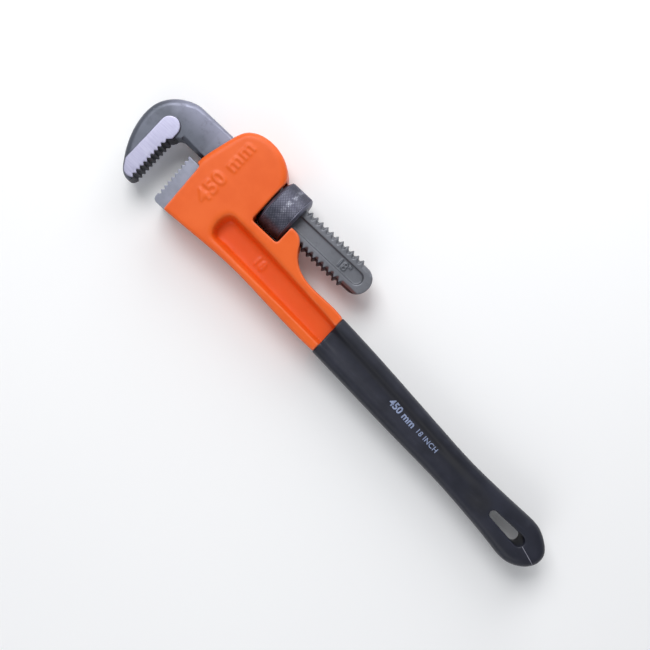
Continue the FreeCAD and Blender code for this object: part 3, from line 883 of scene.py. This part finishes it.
# Painted shade and bounced orange light: a deeper orange nearer the middle plane, in the channel and
# on the sides.
recess_shade = 1.0 - paint.ramp(abs(paint.axis("z")), RECESS_SHADE_BELOW_Z, RECESS_SHADE_ENDS_ABOVE_Z)
tone = paint.mix(recess_shade * 0.55, tone, srgb(234, 80, 18))
relief = peel * 0.7 + grain * 0.3
powder_coat = paint.finish(
    Base_Color=tone,
    Roughness=paint.ramp(peel, 0.25, 0.75, 0.36, 0.48),
    Normal=paint.bump(relief, 0.06 * MM, 0.5),
    Specular_IOR_Level=0.3,
)

# %% [markdown]
# ### Vinyl
#
# The sleeve is a black with some blue in it, satin, with faint flow lines along the handle.
# Along the valley it is painted darker, as painted shade, and where the valley runs out it
# is rougher and painted darker still, as painted shade. Both are ramps on the distance from a
# sloping line, since the handle is slanted.

# %% Black vinyl
VALLEY_Y = -28.7 * MM       # where the valley's line would meet X = 0
VALLEY_START_FADE_X = 195 * MM
VALLEY_END_X = 232 * MM

paint = Paint("black_vinyl")
cloud = paint.noise(60, 4)
grain = paint.noise(2400, 2)
flow = paint.noise(1.0, 3, 0.5, paint.stretched((90, 420, 420)))
along_handle = paint.axis("x")
across_handle = paint.axis("y")
sloped = along_handle * HANDLE_SLOPE

from_valley = abs(across_handle - (sloped + VALLEY_Y))
before_end = 1.0 - paint.ramp(along_handle, VALLEY_START_FADE_X, VALLEY_END_X)
# Painted shade: darker along the valley's line.
valley_shade = (1.0 - paint.ramp(from_valley, 0.5 * MM, 5.5 * MM)) * before_end

# Painted shade where the valley runs out: darker there, and rougher too.
from_middle = abs(across_handle - (sloped + HANDLE_MIDDLE_Y))
into_run_out = paint.ramp(along_handle, 212 * MM, 226 * MM)
past_run_out = paint.ramp(along_handle, 230 * MM, 240 * MM)
run_out_dull_and_shade = into_run_out * (1.0 - past_run_out)
run_out_dull_and_shade = run_out_dull_and_shade * (1.0 - paint.ramp(from_middle, 2 * MM, 9 * MM))

tone = paint.mix(paint.ramp(cloud, 0.3, 0.7), srgb(27, 29, 40), srgb(36, 38, 51))
tone = paint.mix(paint.ramp(flow, 0.55, 0.8) * 0.12, tone, srgb(70, 74, 94))
tone = paint.mix(valley_shade * 0.55, tone, srgb(12, 13, 20))
tone = paint.mix(run_out_dull_and_shade * 0.6, tone, srgb(14, 15, 24))
vinyl = paint.finish(
    Base_Color=tone,
    Roughness=paint.ramp(cloud + grain * 0.2, 0.3, 0.9, 0.41, 0.5) + run_out_dull_and_shade * 0.25,
    Normal=paint.bump(grain * 0.4 + flow * 0.6, 0.04 * MM, 0.35),
    Specular_IOR_Level=0.38,
)

# %% [markdown]
# ### Ink and seam highlight
#
# Print on vinyl is a thin, slightly worn blue-grey, and the mould seam's pale colour is a
# painted highlight along its ridge. Both are matt and speckled, so one function makes them.

# %% Pale ink and painted seam highlight


def pale_paint(name, speckles, share_low, share_high, darker, lighter):
    """A thin pale layer with fine speckles in it."""
    paint = Paint(name)
    speckle = paint.noise(speckles, 3)
    return paint.finish(
        Base_Color=paint.mix(paint.ramp(speckle, share_low, share_high), darker, lighter),
        Roughness=paint.ramp(speckle, 0.3, 0.7, 0.4, 0.6),
        Normal=paint.bump(speckle, 0.02 * MM, 0.3),
    )


ink_paint = pale_paint("pale_ink", 1500, 0.35, 0.6, srgb(118, 130, 160), srgb(150, 162, 194))
# Painted highlight: the seam's pale colour stands for light caught along its ridge.
seam_highlight_paint = pale_paint("pale_seam_highlight", 600, 0.3, 0.7, srgb(118, 118, 130), srgb(150, 150, 162))

# %% [markdown]
# ### The forging
#
# Forging scale leaves a mottled dark grey, and the cut tail is a plainer grey. Towards the
# back of the hook the grey is painted lighter as a painted reflection of the lamps, hollows
# such as the thread's roots are painted darker as painted shade, and outer edges paler as a
# painted highlight. One material does it all with ramps along X and Y and with pointiness;
# separate ones would show a hard border.

# %% Forged steel
HEAD_END_X = -70 * MM       # the darker head ends here, the cut bar starts at X = 0
BACK_SHEEN_FROM_Y = -8 * MM     # towards the back the forging is painted lighter: a painted reflection
BACK_SHEEN_FULL_Y = 12 * MM

paint = Paint("forged_steel")
scale_spots = paint.noise(260, 5, 0.65)
cloud = paint.noise(45, 3)
mottle = paint.ramp(cloud, 0.3, 0.7)
head_tone = paint.mix(mottle, srgb(83, 87, 97), srgb(96, 100, 112))
tail_tone = paint.mix(mottle, srgb(102, 104, 110), srgb(114, 116, 123))
tone = paint.mix(paint.ramp(paint.axis("x"), HEAD_END_X, 0.0), head_tone, tail_tone)
on_head = 1.0 - paint.ramp(paint.axis("x"), -60 * MM, -20 * MM)
# Painted reflection: the head is painted lighter towards its back.
back_sheen = paint.ramp(paint.axis("y"), BACK_SHEEN_FROM_Y, BACK_SHEEN_FULL_Y) * on_head
tone = paint.mix(back_sheen, tone, srgb(132, 134, 152))
tone = paint.mix(paint.ramp(scale_spots, 0.52, 0.75) * 0.3, tone, srgb(70, 72, 78))
# Painted shade: hollows, the thread's roots and the recess among them, are darker.
hollow_shade = paint.ramp(paint.pointiness(), 0.49, 0.43)
tone = paint.mix(hollow_shade * 0.6, tone, srgb(40, 41, 46))
# Painted highlight: outer edges are paler.
edge = paint.ramp(paint.pointiness(), 0.52, 0.6)
tone = paint.mix(edge * 0.5, tone, srgb(140, 144, 158))
forged = paint.finish(
    Base_Color=tone,
    Metallic=0.55,
    Roughness=paint.ramp(scale_spots, 0.3, 0.75, 0.38, 0.54),
    Normal=paint.bump(scale_spots * 0.6 + paint.noise(1300, 2) * 0.4, 0.05 * MM, 0.5),
)

# %% [markdown]
# ### Ground pads
#
# The pads beside the teeth are ground, which leaves fine lines along the tool's path. A
# noise that is stretched a lot in one direction gives such lines without a texture file.

# %% Ground pads
paint = Paint("ground_steel")
lines = paint.noise(1.0, 4, 0.6, paint.stretched((90, 2600, 300)))
cloud = paint.noise(70, 3)
tone = paint.mix(paint.ramp(lines, 0.3, 0.7), srgb(156, 155, 180), srgb(174, 173, 194))
ground = paint.finish(
    Base_Color=paint.mix(paint.ramp(cloud, 0.4, 0.7) * 0.4, tone, srgb(148, 148, 172)),
    Metallic=0.7,
    Roughness=paint.ramp(lines, 0.3, 0.7, 0.3, 0.42),
    Normal=paint.bump(lines, 0.03 * MM, 0.4),
)

# %% [markdown]
# ### Teeth, and painted shade on the undersides
#
# Hardened teeth come out of the quench nearly black, with bright wear on their crests. The
# same dark material is also put on the mouth's faces that look towards the handle and on the
# under side of the shank, as painted shade.

# %% Dark teeth
paint = Paint("black_oxide_and_shade")
cloud = paint.noise(350, 4)
edge = paint.ramp(paint.pointiness(), 0.53, 0.62)
tone = paint.mix(paint.ramp(cloud, 0.3, 0.7), srgb(24, 24, 32), srgb(46, 46, 58))
black_oxide_and_shade = paint.finish(
    Base_Color=paint.mix(edge * 0.5, tone, srgb(110, 110, 124)),
    Metallic=0.35,
    Roughness=paint.ramp(cloud, 0.3, 0.7, 0.4, 0.58),
    Normal=paint.bump(cloud, 0.04 * MM, 0.5),
)

# %% [markdown]
# ### The heel jaw's steel
#
# This block is machined and then tumbled: a light even grey with only a trace of lines.

# %% Heel jaw steel
paint = Paint("satin_tool_steel")
lines = paint.noise(1.0, 4, 0.6, paint.stretched((200, 2200, 400)))
cloud = paint.noise(120, 4)
tone = paint.mix(paint.ramp(cloud, 0.3, 0.7), srgb(126, 129, 142), srgb(139, 142, 158))
tool_steel = paint.finish(
    Base_Color=paint.mix(paint.ramp(lines, 0.55, 0.8) * 0.3, tone, srgb(158, 160, 174)),
    Metallic=0.6,
    Roughness=paint.ramp(lines, 0.3, 0.7, 0.34, 0.48),
    Normal=paint.bump(lines * 0.6 + cloud * 0.4, 0.03 * MM, 0.4),
)

# %% [markdown]
# ### The nut's steel
#
# A knurl looks rich because its points are bright and its valleys dark. The distance from
# the nut's axis tells one from the other: the valleys are painted darker as painted shade, and
# the points paler as wear. A band round the middle, where the thumb runs, is brighter still,
# and on its upper side much brighter again as a painted highlight.

# %% Nut steel
KNURL_FLOOR_R = NUT_R - 0.56 * MM
KNURL_TIP_R = NUT_R - 0.15 * MM

paint = Paint("knurled_steel")
across = paint.axis("y")
depth = paint.axis("z")
radius = (across * across + depth * depth) ** 0.5
from_middle = abs(paint.axis("x") - nut_middle_x)
cloud = paint.noise(180, 4)

tips = paint.ramp(radius, NUT_R - 0.55 * MM, KNURL_TIP_R)
band = 1.0 - paint.ramp(from_middle, 0.6 * MM, 2.2 * MM)
# Painted highlight: towards +Y the worn band is much brighter, where the lamps' reflection falls; the
# rest is wear on the tips.
upper = paint.ramp(across, -6 * MM, 6 * MM)
thumb_wear_and_highlight = band * (upper * 0.75 + 0.15) + 0.12
tip_wear_and_highlight = tips * paint.ramp(paint.noise(300, 2), 0.35, 0.6) * thumb_wear_and_highlight

# Painted shade: the knurl's valleys are darker.
knurled = 1.0 - paint.ramp(from_middle, knurl_half - 0.3 * MM, knurl_half + 0.1 * MM)
pit_shade = (1.0 - paint.ramp(radius, KNURL_FLOOR_R, NUT_R - 0.25 * MM)) * knurled
tone = paint.mix(paint.ramp(cloud, 0.3, 0.7), srgb(84, 85, 100), srgb(104, 104, 122))
tone = paint.mix(pit_shade * 0.7, tone, srgb(38, 38, 48))
nut_steel = paint.finish(
    Base_Color=paint.mix(tip_wear_and_highlight, tone, srgb(214, 217, 232)),
    Metallic=0.6,
    Roughness=paint.ramp(cloud, 0.3, 0.7, 0.36, 0.5),
    Normal=paint.bump(paint.noise(2500, 2), 0.02 * MM, 0.4),
)

# %% [markdown]
# ### Springs, pin and rivet
#
# Small parts inside the housing: bright steel under a film of oil, with drawn lines.

# %% Spring steel
paint = Paint("oiled_spring_steel")
lines = paint.noise(1.0, 4, 0.6, paint.stretched((1800, 200, 1800)))
cloud = paint.noise(400, 3)
spring_steel = paint.finish(
    Base_Color=paint.mix(paint.ramp(cloud, 0.3, 0.7), srgb(120, 118, 116), srgb(156, 155, 154)),
    Metallic=0.85,
    Roughness=paint.ramp(lines, 0.3, 0.7, 0.28, 0.42),
    Normal=paint.bump(lines, 0.02 * MM, 0.4),
)

# %% [markdown]
# ### The floor
#
# Nearly white and matt, with a very faint unevenness, so that the shadow stays soft.

# %% Pale floor
paint = Paint("pale_floor")
floor_paint = paint.finish(
    Base_Color=paint.mix(paint.noise(3, 2), (0.93, 0.93, 0.94, 1), (0.96, 0.96, 0.965, 1)),
    Roughness=0.6,
    Specular_IOR_Level=0.2,
)
floor.data.materials.append(floor_paint)
print("materials:", len(bpy.data.materials))

# %% [markdown]
# ## Ground pads and dark teeth
#
# One forging has three materials, so its mesh gets three material slots. The pads are the
# faces that lie flat at the pads' own height. The dark ones are the faces in the mouth that
# look towards the handle, black oxide made darker as painted shade, and those that look down
# on the under side of the shank and its thread, a painted shadow.

# %% Finishes of the hook
PAD_Z = 11.0 * MM
MOUTH_X = -92.0 * MM
MOUTH_END_X = -80.0 * MM
MOUTH_TOP_Y = -14.5 * MM
SHANK_START_X = -66.0 * MM
LOWER_THREAD_Y = -9.0 * MM
FORGED, GROUND, DARK = 0, 1, 2


def finish_of(face):
    """The material of one face of the hook jaw, by its place and the way it faces; the dark one is
    partly painted shade.
    """
    x, y, z = face.center
    if x < MOUTH_END_X and abs(z) > PAD_Z - 0.4 * MM and abs(face.normal.z) > 0.75:
        return GROUND
    # Teeth facing the handle: black oxide, made darker still as painted shade.
    if MOUTH_X < x < MOUTH_END_X and y < MOUTH_TOP_Y and face.normal.x > 0.15:
        return DARK
    # Faces looking down under the shank and its thread: painted shadow.
    looks_down = face.normal.y < -0.2 and abs(face.normal.z) < 0.8
    if x > SHANK_START_X and y < LOWER_THREAD_Y and looks_down:
        return DARK
    return FORGED


hook.data.materials.clear()
for material in (forged, ground, black_oxide_and_shade):
    hook.data.materials.append(material)
counts = [0, 0, 0]
for face in hook.data.polygons:
    face.material_index = finish_of(face)
    counts[face.material_index] += 1
print("forged, ground and dark faces:", counts)

# %% [markdown]
# ## Putting it together
#
# Each piece rides on the body of the part that it stands for, and takes over its place. The
# pin, the springs and the rivet are right as they are, and only get their steel.

# %% Ride, replace and colour


def dress(piece, material, body, slot, *nodes):
    """Gives a finished piece its paint, its body and the parts it stands for. The slot argument is
    not used.
    """
    if material:
        piece.data.materials.clear()
        piece.data.materials.append(material)
    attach(piece, body)
    if nodes:
        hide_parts(*nodes)


dress(casting, powder_coat, "frame", "painted_casting", "wrench_body")
dress(sleeve, vinyl, "frame", "sleeve_vinyl", "grip_sleeve")
dress(ink, ink_paint, "frame", "sleeve_vinyl")
dress(seam, seam_highlight_paint, "frame", "sleeve_vinyl")
dress(hook, None, "movable_jaw", "forged_steel", "hook_jaw")
dress(heel, tool_steel, "frame", "jaw_steel", "heel_jaw")
dress(nut, nut_steel, "nut", "nut_steel", "adjusting_nut")
for name in ("heel_jaw_pin", "flat_spring", "spring_rivet", "coil_spring"):
    node = frame["nodes"][name]
    node.data.materials.clear()
    node.data.materials.append(spring_steel)

# %% Sizes
print("CAD, mm:", [[round(v / MM, 2) for v in corner] for corner in cad_box])
